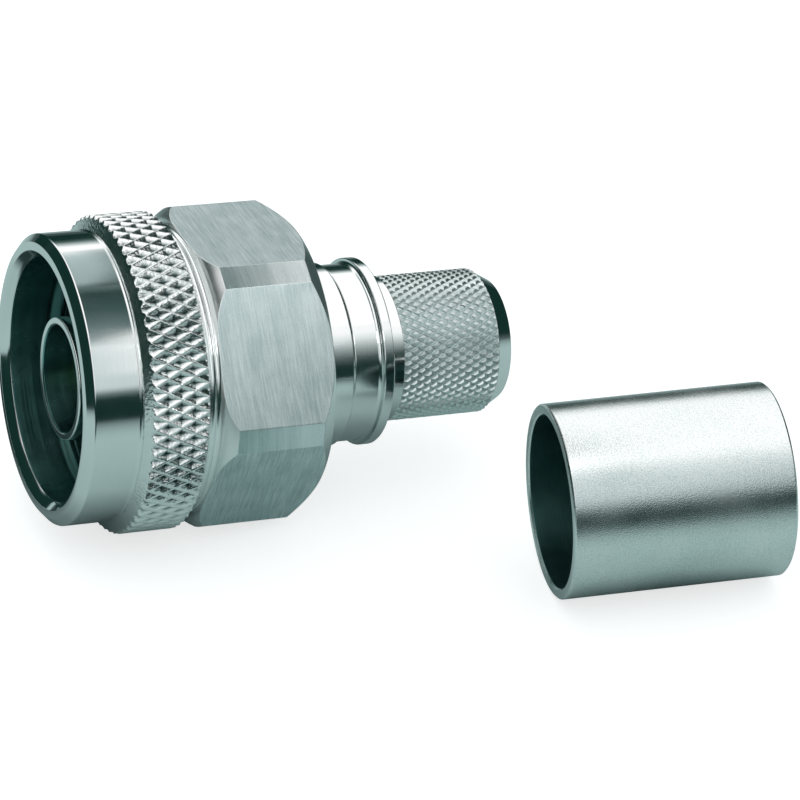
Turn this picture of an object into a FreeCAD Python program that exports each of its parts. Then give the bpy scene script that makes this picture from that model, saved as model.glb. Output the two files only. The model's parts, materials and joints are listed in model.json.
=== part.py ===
"""Coaxial plug with a screwed coupling nut, of the crimp kind, and its crimp ferrule lying apart.

The plug lies as it comes to rest: on the rear rim of its knurl and on one flat of its hexagon.
Stations are measured backwards along the plug's axis from the front face of the coupling nut.
The origin is the centre of the outer contact's front edge. +X runs towards the cable, +Z is up.
"""
import FreeCAD
import Part
import Sketcher
import math
import os

# Driving dimensions in millimetres, and angles in degrees.
SIZES = {
    # coupling nut, outside
    "bead_radius": 9.5,
    "bead_length": 3.68,
    "bead_chamfer": 0.5,
    "knurl_radius": 10.4,
    "knurl_cone": 0.52,
    "knurl_length": 3.6,
    "knurl_depth": 0.3,
    "knurl_around": 70,
    "knurl_columns": 4,
    "knurl_allowance": 0.1,
    "knurl_back": 0.4,
    "waist_radius": 9.45,
    "waist_length": 0.8,
    "waist_ring_height": 0.11,
    "waist_ring_half": 0.17,
    "waist_ring_top": 0.16,
    "waist_ring_front": 0.22,
    "waist_ring_pitch": 0.38,
    "hex_flats": 19.0,
    "hex_corner_height": 1.02,
    "hex_front_step": 0.15,
    "hex_front_chamfer": 0.8,
    "hex_length": 5.9,
    "hex_back_chamfer": 1.05,
    # coupling nut, inside
    "mouth_radius": 8.45,
    "thread_radius": 7.94,
    "thread_end": 8.9,
    "relief_radius": 8.1,
    "nut_web": 4.55,
    "swivel_clearance": 0.08,
    "end_clearance": 0.1,
    # outer contact and plug body
    "contact_setback": 1.3,
    "contact_radius": 4.015,
    "contact_bore": 3.5,
    "contact_bevel": 0.12,
    "contact_length": 8.6,
    "gasket_plane": 9.0,
    "gasket_thickness": 1.7,
    "gasket_seat_radius": 4.65,
    "gasket_radius": 6.6,
    "gasket_bevel": 0.25,
    "neck_radius": 5.9,
    "collar_radius": 6.12,
    "collar_length": 2.4,
    "collar_nose": 0.31,
    "joint_bevel": 0.09,
    "chamber_radius": 4.6,
    "air_length": 9.5,
    # retaining ring
    "ring_setback": 2.3,
    "ring_width": 1.0,
    "ring_root": 5.2,
    "ring_outer": 6.45,
    "ring_play": 0.06,
    "ring_angle": 320.0,
    # insulator and centre contact
    "seat_clearance": 0.03,
    "insulator_length": 6.1,
    "pin_radius": 0.82,
    "pin_setback": 2.9,
    "pin_length": 2.5,
    "pin_taper": 0.6,
    "pin_end_radius": 0.4,
    "rod_radius": 1.52,
    "cup_radius": 2.0,
    "cup_length": 4.6,
    "cup_bore": 1.3,
    "cup_depth": 3.8,
    "solder_hole_radius": 0.45,
    # crimp body
    "cable_bore": 3.75,
    "cup_passage": 3.4,
    "cup_end_clearance": 0.1,
    "rear_ring_length": 1.99,
    "flange_radius": 6.25,
    "flange_length": 0.71,
    "flange_fillet": 0.3,
    "sleeve_radius": 4.9,
    "sleeve_plain": 1.3,
    "sleeve_knurl_radius": 4.85,
    "sleeve_knurl_length": 6.84,
    "sleeve_knurl_depth": 0.2,
    "sleeve_knurl_around": 52,
    "sleeve_knurl_columns": 14,
    "sleeve_nose": 1.2,
    "sleeve_end_radius": 4.1,
    # ferrule, lying apart on the same surface
    "ferrule_radius": 6.29,
    "ferrule_bore": 5.58,
    "ferrule_length": 14.6,
    "ferrule_edge": 0.15,
    "ferrule_across": 18.43,
    "ferrule_along": 26.65,
    "ferrule_angle": -9.6,
}

# Stations and radii worked out from the driving dimensions.
DERIVED = {
    "cone_start": "bead_length",
    "knurl_start": "bead_length + knurl_cone",
    "knurl_end": "knurl_start + knurl_length",
    "blank_radius": "knurl_radius + knurl_allowance",
    "blank_start": "knurl_start + knurl_allowance * knurl_cone / (knurl_radius - bead_radius)",
    "blank_end": "knurl_end - knurl_allowance * knurl_back / (knurl_radius - waist_radius)",
    "waist_start": "knurl_end + knurl_back",
    "ring_a": "waist_start + waist_ring_front",
    "ring_b": "ring_a + waist_ring_pitch",
    "waist_ring_radius": "waist_radius + waist_ring_height",
    "ring_a_front": "ring_a - waist_ring_half",
    "ring_a_top_front": "ring_a - waist_ring_top / 2",
    "ring_a_top_back": "ring_a + waist_ring_top / 2",
    "ring_a_back": "ring_a + waist_ring_half",
    "ring_b_front": "ring_b - waist_ring_half",
    "ring_b_top_front": "ring_b - waist_ring_top / 2",
    "ring_b_top_back": "ring_b + waist_ring_top / 2",
    "ring_b_back": "ring_b + waist_ring_half",
    "hex_start": "waist_start + waist_length",
    "hex_front_end": "hex_start + hex_front_chamfer",
    "hex_back_start": "hex_front_end + hex_length",
    "nut_end": "hex_back_start + hex_back_chamfer",
    "hex_half": "hex_flats / 2",
    "hex_corner_radius": "hex_half + hex_corner_height",
    "hex_front_radius": "hex_half + hex_front_step",
    "bead_front_radius": "bead_radius - bead_chamfer",
    "thread_start": "mouth_radius - thread_radius",
    "web_start": "nut_end - nut_web",
    "swivel_bore": "neck_radius + swivel_clearance",
    "nut_groove_radius": "ring_outer + swivel_clearance",
    "ring_front": "nut_end - ring_setback - ring_width / 2",
    "ring_back": "ring_front + ring_width",
    "ring_inner": "ring_root + ring_play",
    "nut_groove_front": "ring_front - swivel_clearance",
    "nut_groove_back": "ring_back + swivel_clearance",
    "body_groove_front": "ring_front - ring_play",
    "body_groove_back": "ring_back + ring_play",
    "contact_mouth": "contact_bore + contact_bevel",
    "contact_lip": "contact_setback + contact_bevel",
    "contact_end": "contact_setback + contact_length",
    "gasket_front": "contact_setback + gasket_plane",
    "shoulder_front": "gasket_front + gasket_thickness",
    "gasket_bore": "gasket_seat_radius + seat_clearance",
    "gasket_face_radius": "gasket_radius - gasket_bevel",
    "gasket_bevel_end": "gasket_front + gasket_bevel",
    "collar_front": "nut_end + end_clearance",
    "collar_back": "collar_front + collar_length",
    "body_end": "collar_back + collar_nose",
    "joint_radius": "neck_radius - joint_bevel",
    "joint_bevel_back": "body_end + joint_bevel",
    "chamber_front": "contact_setback + air_length",
    "insulator_radius": "chamber_radius - seat_clearance",
    "insulator_end": "chamber_front + insulator_length",
    "rod_bore": "rod_radius + seat_clearance",
    "pin_tip": "contact_setback + pin_setback",
    "pin_taper_end": "pin_tip + pin_taper",
    "rod_start": "pin_tip + pin_length",
    "cup_end": "insulator_end + cup_length",
    "cup_floor": "cup_end - cup_depth",
    "cable_stop": "cup_end + cup_end_clearance",
    "rear_ring_end": "body_end + rear_ring_length",
    "flange_end": "rear_ring_end + flange_length",
    "sleeve_knurl_start": "flange_end + sleeve_plain",
    "sleeve_knurl_end": "sleeve_knurl_start + sleeve_knurl_length",
    "sleeve_blank_radius": "(sleeve_knurl_radius + sleeve_radius) / 2",
    "sleeve_end": "sleeve_knurl_end + sleeve_nose",
}

doc = FreeCAD.newDocument("coaxial_plug")
sheet = doc.addObject("Spreadsheet::Sheet", "Sizes")
for row, (alias, number) in enumerate(SIZES.items(), 1):
    sheet.set("A%d" % row, alias)
    sheet.set("B%d" % row, str(number))
    sheet.setAlias("B%d" % row, alias)
for row, (alias, formula) in enumerate(DERIVED.items(), 1):
    sheet.set("C%d" % row, alias)
    sheet.set("D%d" % row, "=" + formula)
    sheet.setAlias("D%d" % row, alias)
doc.recompute()


def size(alias):
    """Value of a named cell of the sheet."""
    return float(sheet.get(alias))


def origin_plane(body, role):
    """Origin plane of a body, by its role."""
    return next(plane for plane in body.Origin.OriginFeatures if plane.Role == role)


def new_sketch(body, name, role):
    """Sketch on one of the body's own origin planes."""
    sketch = body.newObject("Sketcher::SketchObject", name)
    sketch.AttachmentSupport = (origin_plane(body, role), [""])
    sketch.MapMode = "FlatFace"
    return sketch


def tie_point(sketch, line, station, radius):
    """Tie the first point of a line to a station along the axis and a radius, both named cells or 0."""
    for kind, axis, alias in (("DistanceX", -2, station), ("DistanceY", -1, radius)):
        if alias == 0:
            sketch.addConstraint(Sketcher.Constraint("PointOnObject", line, 1, axis))
            continue
        number = sketch.addConstraint(Sketcher.Constraint(kind, -1, 1, line, 1, size(alias)))
        sketch.setExpression("Constraints[%d]" % number, "Sizes." + alias)


def turned_body(label, outline, angle=None):
    """Body turned about the X axis from an outline of (station, radius) names, 0 being on the axis."""
    body = doc.addObject("PartDesign::Body", label)
    body.Label = label
    sketch = new_sketch(body, label + "_outline", "XZ_Plane")
    points = [FreeCAD.Vector(size(u) if u else 0, size(r) if r else 0, 0) for u, r in outline]
    count = len(points)
    for index in range(count):
        sketch.addGeometry(Part.LineSegment(points[index], points[(index + 1) % count]))
    for index in range(count):
        sketch.addConstraint(Sketcher.Constraint("Coincident", index, 2, (index + 1) % count, 1))
        tie_point(sketch, index, *outline[index])
    turned = body.newObject("PartDesign::Revolution", label + "_turned")
    turned.Profile = sketch
    turned.ReferenceAxis = (sketch, ["H_Axis"])
    turned.Angle = 360
    if angle:
        turned.setExpression("Angle", "Sizes." + angle)
    doc.recompute()
    return body


def rim(shape, station, radius):
    """Name of the round edge at a station and a radius."""
    for number, edge in enumerate(shape.Edges, 1):
        curve = edge.Curve
        if not isinstance(curve, Part.Circle):
            continue
        if abs(curve.Center.x - station) < 1e-4 and abs(curve.Radius - radius) < 1e-4:
            return "Edge%d" % number
    raise ValueError("no round edge at station %.3f, radius %.3f" % (station, radius))


def round_rims(body, name, rims, radius):
    """Fillet the round edges given as (station, radius) names."""
    base = body.Tip
    fillet = body.newObject("PartDesign::Fillet", name)
    fillet.Base = (base, [rim(base.Shape, size(u), size(r)) for u, r in rims])
    fillet.setExpression("Radius", "Sizes." + radius)
    doc.recompute()


def cut_checked(body, before):
    """Stop if the last cut of a body has taken nothing away."""
    if body.Shape.Volume > before - 1e-3:
        raise ValueError(body.Label + ": the last cut removes nothing")


def knurl_cutter(start, step, rows, around, crest, depth, points_raised):
    """Ring-shaped cutter whose inner wall is a diamond knurl.

    The wall is a net of triangles on rows of stations and 2 * around angles. Every other point of the
    net is a crossing of the two helices, and the points between are the middles of the diamonds.
    """
    columns = 2 * around
    crossing = crest - depth if points_raised else crest
    middle = crest if points_raised else crest - depth
    outside = crest + 3 * depth
    points = []
    for row in range(rows + 1):
        for column in range(columns):
            radius = crossing if (row + column) % 2 == 0 else middle
            angle = 2 * math.pi * column / columns
            points.append((start + row * step, radius * math.cos(angle), radius * math.sin(angle)))
    for row in (0, rows):
        for column in range(columns):
            angle = 2 * math.pi * column / columns
            points.append((start + row * step, outside * math.cos(angle), outside * math.sin(angle)))
    front_ring = (rows + 1) * columns
    back_ring = front_ring + columns
    triangles = []
    for column in range(columns):
        beside = (column + 1) % columns
        for row in range(rows):
            near = row * columns
            far = near + columns
            a, b, c, d = near + column, far + column, far + beside, near + beside
            if (row + column) % 2 == 0:
                triangles += [(a, b, c), (a, c, d)]
            else:
                triangles += [(a, b, d), (b, c, d)]
        last = rows * columns
        a, b, c, d = front_ring + column, back_ring + column, back_ring + beside, front_ring + beside
        triangles += [(a, c, b), (a, d, c)]
        triangles += [(column, beside, d), (column, d, a)]
        triangles += [(last + column, c, last + beside), (last + column, b, c)]
    mesh = ([FreeCAD.Vector(*point) for point in points], triangles)
    net = Part.Shape()
    net.makeShapeFromMesh(mesh, 1e-5)
    cutter = Part.makeSolid(net)
    if cutter.Volume < 0:
        cutter.reverse()
    return cutter


def knurled(label, blank, cutter):
    """Knurled copy of a turned body."""
    shape = blank.Shape.cut(cutter)
    if shape.Volume > blank.Shape.Volume - 1e-3 or len(shape.Solids) != 1:
        raise ValueError(label + ": the knurl is not cut")
    piece = doc.addObject("Part::Feature", label)
    piece.Label = label
    piece.Shape = shape.Solids[0]
    return piece


def coupling_nut():
    """Nut with a bead, a knurl with sunken diamonds, a waist with turned rings, and a hexagon."""
    blank = turned_body("nut_blank", [
        (0, "mouth_radius"),
        (0, "bead_front_radius"),
        ("bead_chamfer", "bead_radius"),
        ("cone_start", "bead_radius"),
        ("blank_start", "blank_radius"),
        ("blank_end", "blank_radius"),
        ("waist_start", "waist_radius"),
        ("ring_a_front", "waist_radius"),
        ("ring_a_top_front", "waist_ring_radius"),
        ("ring_a_top_back", "waist_ring_radius"),
        ("ring_a_back", "waist_radius"),
        ("ring_b_front", "waist_radius"),
        ("ring_b_top_front", "waist_ring_radius"),
        ("ring_b_top_back", "waist_ring_radius"),
        ("ring_b_back", "waist_radius"),
        ("hex_start", "waist_radius"),
        ("hex_start", "hex_front_radius"),
        ("hex_front_end", "hex_corner_radius"),
        ("hex_back_start", "hex_corner_radius"),
        ("nut_end", "hex_half"),
        ("nut_end", "swivel_bore"),
        ("nut_groove_back", "swivel_bore"),
        ("nut_groove_back", "nut_groove_radius"),
        ("nut_groove_front", "nut_groove_radius"),
        ("nut_groove_front", "swivel_bore"),
        ("web_start", "swivel_bore"),
        ("web_start", "relief_radius"),
        ("thread_end", "relief_radius"),
        ("thread_end", "thread_radius"),
        ("thread_start", "thread_radius"),
    ])
    before = blank.Shape.Volume
    flats = new_sketch(blank, "hexagon_flats", "YZ_Plane")
    flats.setExpression("AttachmentOffset.Base.z", "Sizes.hex_start")
    corner = 2 * size("hex_half") / math.sqrt(3)
    ring = [FreeCAD.Vector(corner * math.cos(k * math.pi / 3), corner * math.sin(k * math.pi / 3), 0)
            for k in range(6)]
    for k in range(6):
        flats.addGeometry(Part.LineSegment(ring[k], ring[(k + 1) % 6]))
    circle = Part.Circle(FreeCAD.Vector(0, 0, 0), FreeCAD.Vector(0, 0, 1), corner)
    guide = flats.addGeometry(circle, True)
    for k in range(6):
        flats.addConstraint(Sketcher.Constraint("Coincident", k, 2, (k + 1) % 6, 1))
        flats.addConstraint(Sketcher.Constraint("PointOnObject", k, 1, guide))
    for k in range(5):
        flats.addConstraint(Sketcher.Constraint("Equal", k, k + 1))
    flats.addConstraint(Sketcher.Constraint("Coincident", guide, 3, -1, 1))
    flats.addConstraint(Sketcher.Constraint("PointOnObject", 0, 1, -1))
    across = flats.addConstraint(Sketcher.Constraint("Radius", guide, corner))
    flats.setExpression("Constraints[%d]" % across, "2 * Sizes.hex_half / sqrt(3)")
    outer = flats.addGeometry(Part.Circle(FreeCAD.Vector(0, 0, 0), FreeCAD.Vector(0, 0, 1), 2 * corner))
    flats.addConstraint(Sketcher.Constraint("Coincident", outer, 3, -1, 1))
    wide = flats.addConstraint(Sketcher.Constraint("Radius", outer, 2 * corner))
    flats.setExpression("Constraints[%d]" % wide, "4 * Sizes.hex_half / sqrt(3)")
    milled = blank.newObject("PartDesign::Pocket", "hexagon")
    milled.Profile = flats
    milled.Type = 0
    milled.Reversed = True
    milled.setExpression("Length", "Sizes.nut_end - Sizes.hex_start + 1")
    doc.recompute()
    cut_checked(blank, before)
    columns = int(size("knurl_columns"))
    step = size("knurl_length") / columns
    cutter = knurl_cutter(size("knurl_start") - step, step, columns + 2, int(size("knurl_around")),
                          size("knurl_radius"), size("knurl_depth"), False)
    return knurled("coupling_nut", blank, cutter)


def retaining_ring():
    """Split spring ring between the groove of the body and the groove of the nut."""
    return turned_body("retaining_ring", [
        ("ring_front", "ring_inner"),
        ("ring_back", "ring_inner"),
        ("ring_back", "ring_outer"),
        ("ring_front", "ring_outer"),
    ], "ring_angle")


def plug_body():
    """Turned body: outer contact tube, gasket seat, shoulder, ring groove and rear collar."""
    return turned_body("plug_body", [
        ("contact_setback", "contact_mouth"),
        ("contact_setback", "contact_radius"),
        ("contact_end", "contact_radius"),
        ("contact_end", "gasket_seat_radius"),
        ("shoulder_front", "gasket_seat_radius"),
        ("shoulder_front", "neck_radius"),
        ("body_groove_front", "neck_radius"),
        ("body_groove_front", "ring_root"),
        ("body_groove_back", "ring_root"),
        ("body_groove_back", "neck_radius"),
        ("collar_front", "neck_radius"),
        ("collar_front", "collar_radius"),
        ("collar_back", "collar_radius"),
        ("body_end", "joint_radius"),
        ("body_end", "chamber_radius"),
        ("chamber_front", "chamber_radius"),
        ("chamber_front", "contact_bore"),
        ("contact_lip", "contact_bore"),
    ])


def mating_gasket():
    """Rubber ring on its seat, against the shoulder of the body."""
    return turned_body("mating_gasket", [
        ("gasket_front", "gasket_bore"),
        ("gasket_front", "gasket_face_radius"),
        ("gasket_bevel_end", "gasket_radius"),
        ("shoulder_front", "gasket_radius"),
        ("shoulder_front", "gasket_bore"),
    ])


def front_insulator():
    """Plastic bead in the chamber of the body, bored for the rod of the centre contact."""
    return turned_body("front_insulator", [
        ("chamber_front", "rod_bore"),
        ("chamber_front", "insulator_radius"),
        ("insulator_end", "insulator_radius"),
        ("insulator_end", "rod_bore"),
    ])


def centre_contact():
    """Pin, rod and solder cup, with the solder hole in the cup's wall."""
    body = turned_body("centre_contact", [
        ("pin_tip", 0),
        ("pin_tip", "pin_end_radius"),
        ("pin_taper_end", "pin_radius"),
        ("rod_start", "pin_radius"),
        ("rod_start", "rod_radius"),
        ("insulator_end", "rod_radius"),
        ("insulator_end", "cup_radius"),
        ("cup_end", "cup_radius"),
        ("cup_end", "cup_bore"),
        ("cup_floor", "cup_bore"),
        ("cup_floor", 0),
    ])
    before = body.Shape.Volume
    sketch = new_sketch(body, "solder_hole_outline", "XY_Plane")
    hole = Part.Circle(FreeCAD.Vector(size("cup_floor") + 1, 0, 0), FreeCAD.Vector(0, 0, 1), 1)
    sketch.addGeometry(hole)
    sketch.addConstraint(Sketcher.Constraint("PointOnObject", 0, 3, -1))
    along = sketch.addConstraint(Sketcher.Constraint("DistanceX", -1, 1, 0, 3, size("cup_floor") + 1))
    sketch.setExpression("Constraints[%d]" % along, "Sizes.cup_floor + 2 * Sizes.solder_hole_radius")
    wide = sketch.addConstraint(Sketcher.Constraint("Radius", 0, size("solder_hole_radius")))
    sketch.setExpression("Constraints[%d]" % wide, "Sizes.solder_hole_radius")
    hole = body.newObject("PartDesign::Pocket", "solder_hole")
    hole.Profile = sketch
    hole.Type = 0
    hole.Reversed = True
    hole.setExpression("Length", "Sizes.cup_radius + 1")
    doc.recompute()
    cut_checked(body, before)
    return body


def crimp_body():
    """Rear body: spigot in the plug body, rear ring, flange, and the knurled crimp sleeve."""
    blank = turned_body("crimp_blank", [
        ("insulator_end", "cup_passage"),
        ("insulator_end", "insulator_radius"),
        ("body_end", "insulator_radius"),
        ("body_end", "joint_radius"),
        ("joint_bevel_back", "neck_radius"),
        ("rear_ring_end", "neck_radius"),
        ("rear_ring_end", "flange_radius"),
        ("flange_end", "flange_radius"),
        ("flange_end", "sleeve_radius"),
        ("sleeve_knurl_start", "sleeve_radius"),
        ("sleeve_knurl_start", "sleeve_blank_radius"),
        ("sleeve_knurl_end", "sleeve_blank_radius"),
        ("sleeve_end", "sleeve_end_radius"),
        ("sleeve_end", "cable_bore"),
        ("cable_stop", "cable_bore"),
        ("cable_stop", "cup_passage"),
    ])
    round_rims(blank, "flange_rise", [("rear_ring_end", "neck_radius")], "flange_fillet")
    columns = int(size("sleeve_knurl_columns"))
    step = size("sleeve_knurl_length") / columns
    cutter = knurl_cutter(size("sleeve_knurl_start"), step, columns + 1, int(size("sleeve_knurl_around")),
                          size("sleeve_knurl_radius"), size("sleeve_knurl_depth"), True)
    return knurled("crimp_body", blank, cutter)


def crimp_ferrule():
    """Plain tube with its edges broken, made about its own axis from its front end."""
    tube = doc.addObject("Part::Cylinder", "ferrule_outside")
    tube.setExpression("Radius", "Sizes.ferrule_radius")
    tube.setExpression("Height", "Sizes.ferrule_length")
    hole = doc.addObject("Part::Cylinder", "ferrule_inside")
    hole.setExpression("Radius", "Sizes.ferrule_bore")
    hole.setExpression("Height", "Sizes.ferrule_length")
    ring = doc.addObject("Part::Cut", "ferrule_tube")
    ring.Base = tube
    ring.Tool = hole
    doc.recompute()
    rims = [number for number, edge in enumerate(ring.Shape.Edges, 1)
            if isinstance(edge.Curve, Part.Circle)]
    broken = doc.addObject("Part::Chamfer", "crimp_ferrule")
    broken.Base = ring
    edge_size = size("ferrule_edge")
    broken.Edges = [(number, edge_size, edge_size) for number in rims]
    broken.Label = "crimp_ferrule"
    doc.recompute()
    return broken


def resting_tilt():
    """Angle in degrees by which the plug leans back from its knurl onto the rear rim of a flat."""
    drop = size("knurl_radius") - size("hex_half")
    return math.degrees(math.atan2(drop, size("nut_end") - size("knurl_end")))


def main():
    tilt = resting_tilt()
    lean = FreeCAD.Rotation(FreeCAD.Vector(0, 1, 0), tilt)
    axis = lean.multVec(FreeCAD.Vector(1, 0, 0))
    on_axis = FreeCAD.Placement(axis * -size("contact_setback"), lean)
    pieces = [
        coupling_nut(),
        retaining_ring(),
        plug_body(),
        mating_gasket(),
        front_insulator(),
        centre_contact(),
        crimp_body(),
    ]
    for piece in pieces:
        piece.Placement = on_axis
    lowest = on_axis.multVec(FreeCAD.Vector(size("knurl_end"), 0, -size("knurl_radius"))).z
    ferrule = crimp_ferrule()
    along_x = FreeCAD.Rotation(FreeCAD.Vector(0, 1, 0), 90)
    turned = FreeCAD.Rotation(FreeCAD.Vector(0, 0, 1), size("ferrule_angle"))
    front = FreeCAD.Vector(size("ferrule_along"), -size("ferrule_across"), lowest + size("ferrule_radius"))
    ferrule.Placement = FreeCAD.Placement(front, turned.multiply(along_x))
    pieces.append(ferrule)
    doc.recompute()
    for thing in doc.Objects:
        if "Invalid" in thing.State or "Error" in thing.State:
            raise ValueError("failed: " + thing.Label)
    os.makedirs("parts", exist_ok=True)
    for piece in pieces:
        if piece.Shape.isNull() or not piece.Shape.isValid():
            raise ValueError("bad shape: " + piece.Label)
        piece.Shape.exportStep("parts/%s.step" % piece.Label)


main()
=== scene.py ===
"""Coaxial plug with a screwed coupling nut, and its crimp ferrule lying apart: looks.

Lengths are in millimetres and become metres in frame_point(). Stations u run backwards along the plug's
axis from the front face of the coupling nut, and angles run from +Y over the top.
"""
import json
import math

import bmesh
import bpy
import numpy as np
from mathutils import Matrix, Vector


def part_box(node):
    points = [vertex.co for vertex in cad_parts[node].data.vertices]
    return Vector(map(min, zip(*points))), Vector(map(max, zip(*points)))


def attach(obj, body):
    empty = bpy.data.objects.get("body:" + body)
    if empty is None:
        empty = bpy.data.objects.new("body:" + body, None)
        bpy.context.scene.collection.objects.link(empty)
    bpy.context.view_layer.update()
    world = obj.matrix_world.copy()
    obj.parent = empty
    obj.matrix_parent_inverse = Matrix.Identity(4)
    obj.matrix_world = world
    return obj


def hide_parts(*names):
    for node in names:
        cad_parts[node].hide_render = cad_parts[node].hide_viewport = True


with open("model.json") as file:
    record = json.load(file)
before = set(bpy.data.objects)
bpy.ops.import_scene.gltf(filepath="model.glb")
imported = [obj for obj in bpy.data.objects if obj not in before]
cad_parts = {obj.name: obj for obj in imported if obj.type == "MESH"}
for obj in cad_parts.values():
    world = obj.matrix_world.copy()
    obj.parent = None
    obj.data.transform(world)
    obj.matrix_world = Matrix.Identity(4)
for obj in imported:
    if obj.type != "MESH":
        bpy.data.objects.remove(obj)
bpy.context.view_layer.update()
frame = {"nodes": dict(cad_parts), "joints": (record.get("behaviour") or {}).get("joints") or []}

# sizes in millimetres, as in the CAD model but for the fine relief
MM = 0.001
SETBACK = 1.3
AXIS = np.array(frame["joints"][0]["axis"], float)
AXIS /= np.linalg.norm(AXIS)
SIDE = np.array([0.0, 1.0, 0.0])
UP = np.cross(AXIS, SIDE)
PLUG = (-SETBACK * AXIS, AXIS, SIDE, UP)

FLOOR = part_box("crimp_ferrule")[0].z / MM
FERRULE_RADIUS, FERRULE_BORE, FERRULE_LENGTH = 6.29, 5.58, 14.6
FERRULE_TURN = math.radians(-9.6)
FERRULE_AXIS = np.array([math.cos(FERRULE_TURN), math.sin(FERRULE_TURN), 0.0])
FERRULE_SIDE = np.cross([0.0, 0.0, 1.0], FERRULE_AXIS)
FERRULE_ALONG, FERRULE_ACROSS, FERRULE_EDGE = 26.65, 18.43, 0.12
FERRULE = (np.array([FERRULE_ALONG, -FERRULE_ACROSS, FLOOR + FERRULE_RADIUS]), FERRULE_AXIS, FERRULE_SIDE,
           np.array([0.0, 0.0, 1.0]))

BEAD_R, BEAD_END = 9.5, 3.68
KNURL_R, KNURL_START, KNURL_END, KNURL_DEPTH = 10.4, 4.2, 7.8, 0.28
KNURL_AROUND, KNURL_STEP, RIDGE = 70, 0.9, 0.125
WAIST_R, WAIST_START, HEX_START = 9.45, 8.2, 9.0
HEX_HALF, HEX_CORNER, HEX_FRONT_R = 9.5, 10.52, 9.65
HEX_FRONT_END, HEX_BACK_START, NUT_END = 9.8, 15.7, 16.75
SHELL_R = 9.1
MOUTH_R, MOUTH_EDGE = 8.45, 8.9
THREAD_MAJOR, THREAD_DEPTH, PITCH, THREAD_START, THREAD_END = 7.94, 0.55, 1.058, 3.0, 8.9
FLANK_SLOPE = 1.732
RELIEF_R, RELIEF_END, WEB_END, SWIVEL_BORE = 8.1, 12.2, 13.9, 5.98
RIBS, RIB_RADIUS, RIB_TURN, RIB_LIFT = (8.42, 8.80), 0.26, 42.0, 0.05

CONTACT_R, CONTACT_BORE, CONTACT_END = 4.015, 3.5, 9.9
SEAT_R, SEAT_END, NECK_R = 4.65, 12.0, 5.9
RING_ROOT, RING_START, RING_END = 5.2, 13.89, 15.01
COLLAR_R, COLLAR_START, COLLAR_END, BODY_END = 6.12, 16.85, 19.42, 19.56
CHAMBER_R, CHAMBER_START = 4.6, 10.8

SPIGOT_R, SPIGOT_START, PASSAGE_R = 4.57, 16.9, 3.4
FLANGE_R, FLANGE_START, FLANGE_END = 6.25, 21.55, 22.26
SLEEVE_R, SLEEVE_INNER, SLEEVE_END, SLEEVE_END_R = 4.9, 4.55, 31.6, 4.1
SLEEVE_KNURL_START, SLEEVE_KNURL_END, SLEEVE_AROUND, SLEEVE_COLUMNS = 23.56, 30.4, 52, 14
CABLE_BORE, CABLE_STOP = 3.75, 21.6

# fineness of the meshes
AROUND = 256
FILLET_STEPS, SUPPORT = 4, 0.012


# meshes
def frame_point(place, u, rho, phi):
    """Points in metres from stations, radii and angles about a placed axis."""
    origin, axis, side, up = place
    u, rho, phi = np.broadcast_arrays(u, rho, phi)
    across = (rho * np.cos(phi))[..., None] * side + (rho * np.sin(phi))[..., None] * up
    return (origin + u[..., None] * axis + across) * MM


def finish_mesh(name, points, faces, sharp=30.0, merge=False):
    """Closed mesh object from points and faces, outward normals, smooth but for edges over the angle."""
    mesh = bpy.data.meshes.new(name)
    first = np.array([face[0] for face in faces])
    second = np.array([face[1] for face in faces])
    third = np.array([face[2] for face in faces])
    centre = points.mean(0)
    a, b, c = points[first] - centre, points[second] - centre, points[third] - centre
    volume = np.einsum("ij,ij->i", a, np.cross(b, c)).sum()
    if len(faces[0]) == 4:
        d = points[np.array([face[3] for face in faces])] - centre
        volume += np.einsum("ij,ij->i", a, np.cross(c, d)).sum()
    if volume < 0:
        faces = [face[::-1] for face in faces]
    mesh.from_pydata(points.tolist(), [], faces)
    if merge:
        work = bmesh.new()
        work.from_mesh(mesh)
        bmesh.ops.remove_doubles(work, verts=work.verts, dist=2e-7)
        bmesh.ops.dissolve_degenerate(work, edges=work.edges, dist=1e-7)
        work.to_mesh(mesh)
        work.free()
    mesh.validate()
    mesh.polygons.foreach_set("use_smooth", np.ones(len(mesh.polygons), bool))
    mesh.set_sharp_from_angle(angle=math.radians(sharp))
    thing = bpy.data.objects.new(name, mesh)
    bpy.context.scene.collection.objects.link(thing)
    return thing


def ring_faces(rows, columns):
    """Quads of a grid that closes both along its rows and around its columns."""
    i, j = np.meshgrid(np.arange(rows), np.arange(columns), indexing="ij")
    i2, j2 = (i + 1) % rows, (j + 1) % columns
    corners = (i * columns + j, i2 * columns + j, i2 * columns + j2, i * columns + j2)
    return np.stack(corners, -1).reshape(-1, 4)


def rounded(outline):
    """Closed outline of (station, radius) with the corners that give a third number rounded to it."""
    points, count = [], len(outline)
    for index, corner in enumerate(outline):
        here = np.array(corner[:2], float)
        fillet = corner[2] if len(corner) > 2 else 0
        if not fillet:
            points.append(here)
            continue
        before = np.array(outline[index - 1][:2], float) - here
        after = np.array(outline[(index + 1) % count][:2], float) - here
        before /= np.linalg.norm(before)
        after /= np.linalg.norm(after)
        half = math.acos(np.clip(before @ after, -1, 1)) / 2
        reach = fillet / math.tan(half)
        middle = before + after
        centre = here + middle / np.linalg.norm(middle) * fillet / math.sin(half)
        start, end = here + before * reach - centre, here + after * reach - centre
        turn = math.acos(np.clip(start @ end / fillet ** 2, -1, 1))
        points.append(here + before * (reach + SUPPORT))
        for step in range(FILLET_STEPS + 1):
            part = step / FILLET_STEPS
            mix = start * math.sin((1 - part) * turn) + end * math.sin(part * turn)
            points.append(centre + mix / math.sin(turn))
        points.append(here + after * (reach + SUPPORT))
    return np.array(points)


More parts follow.
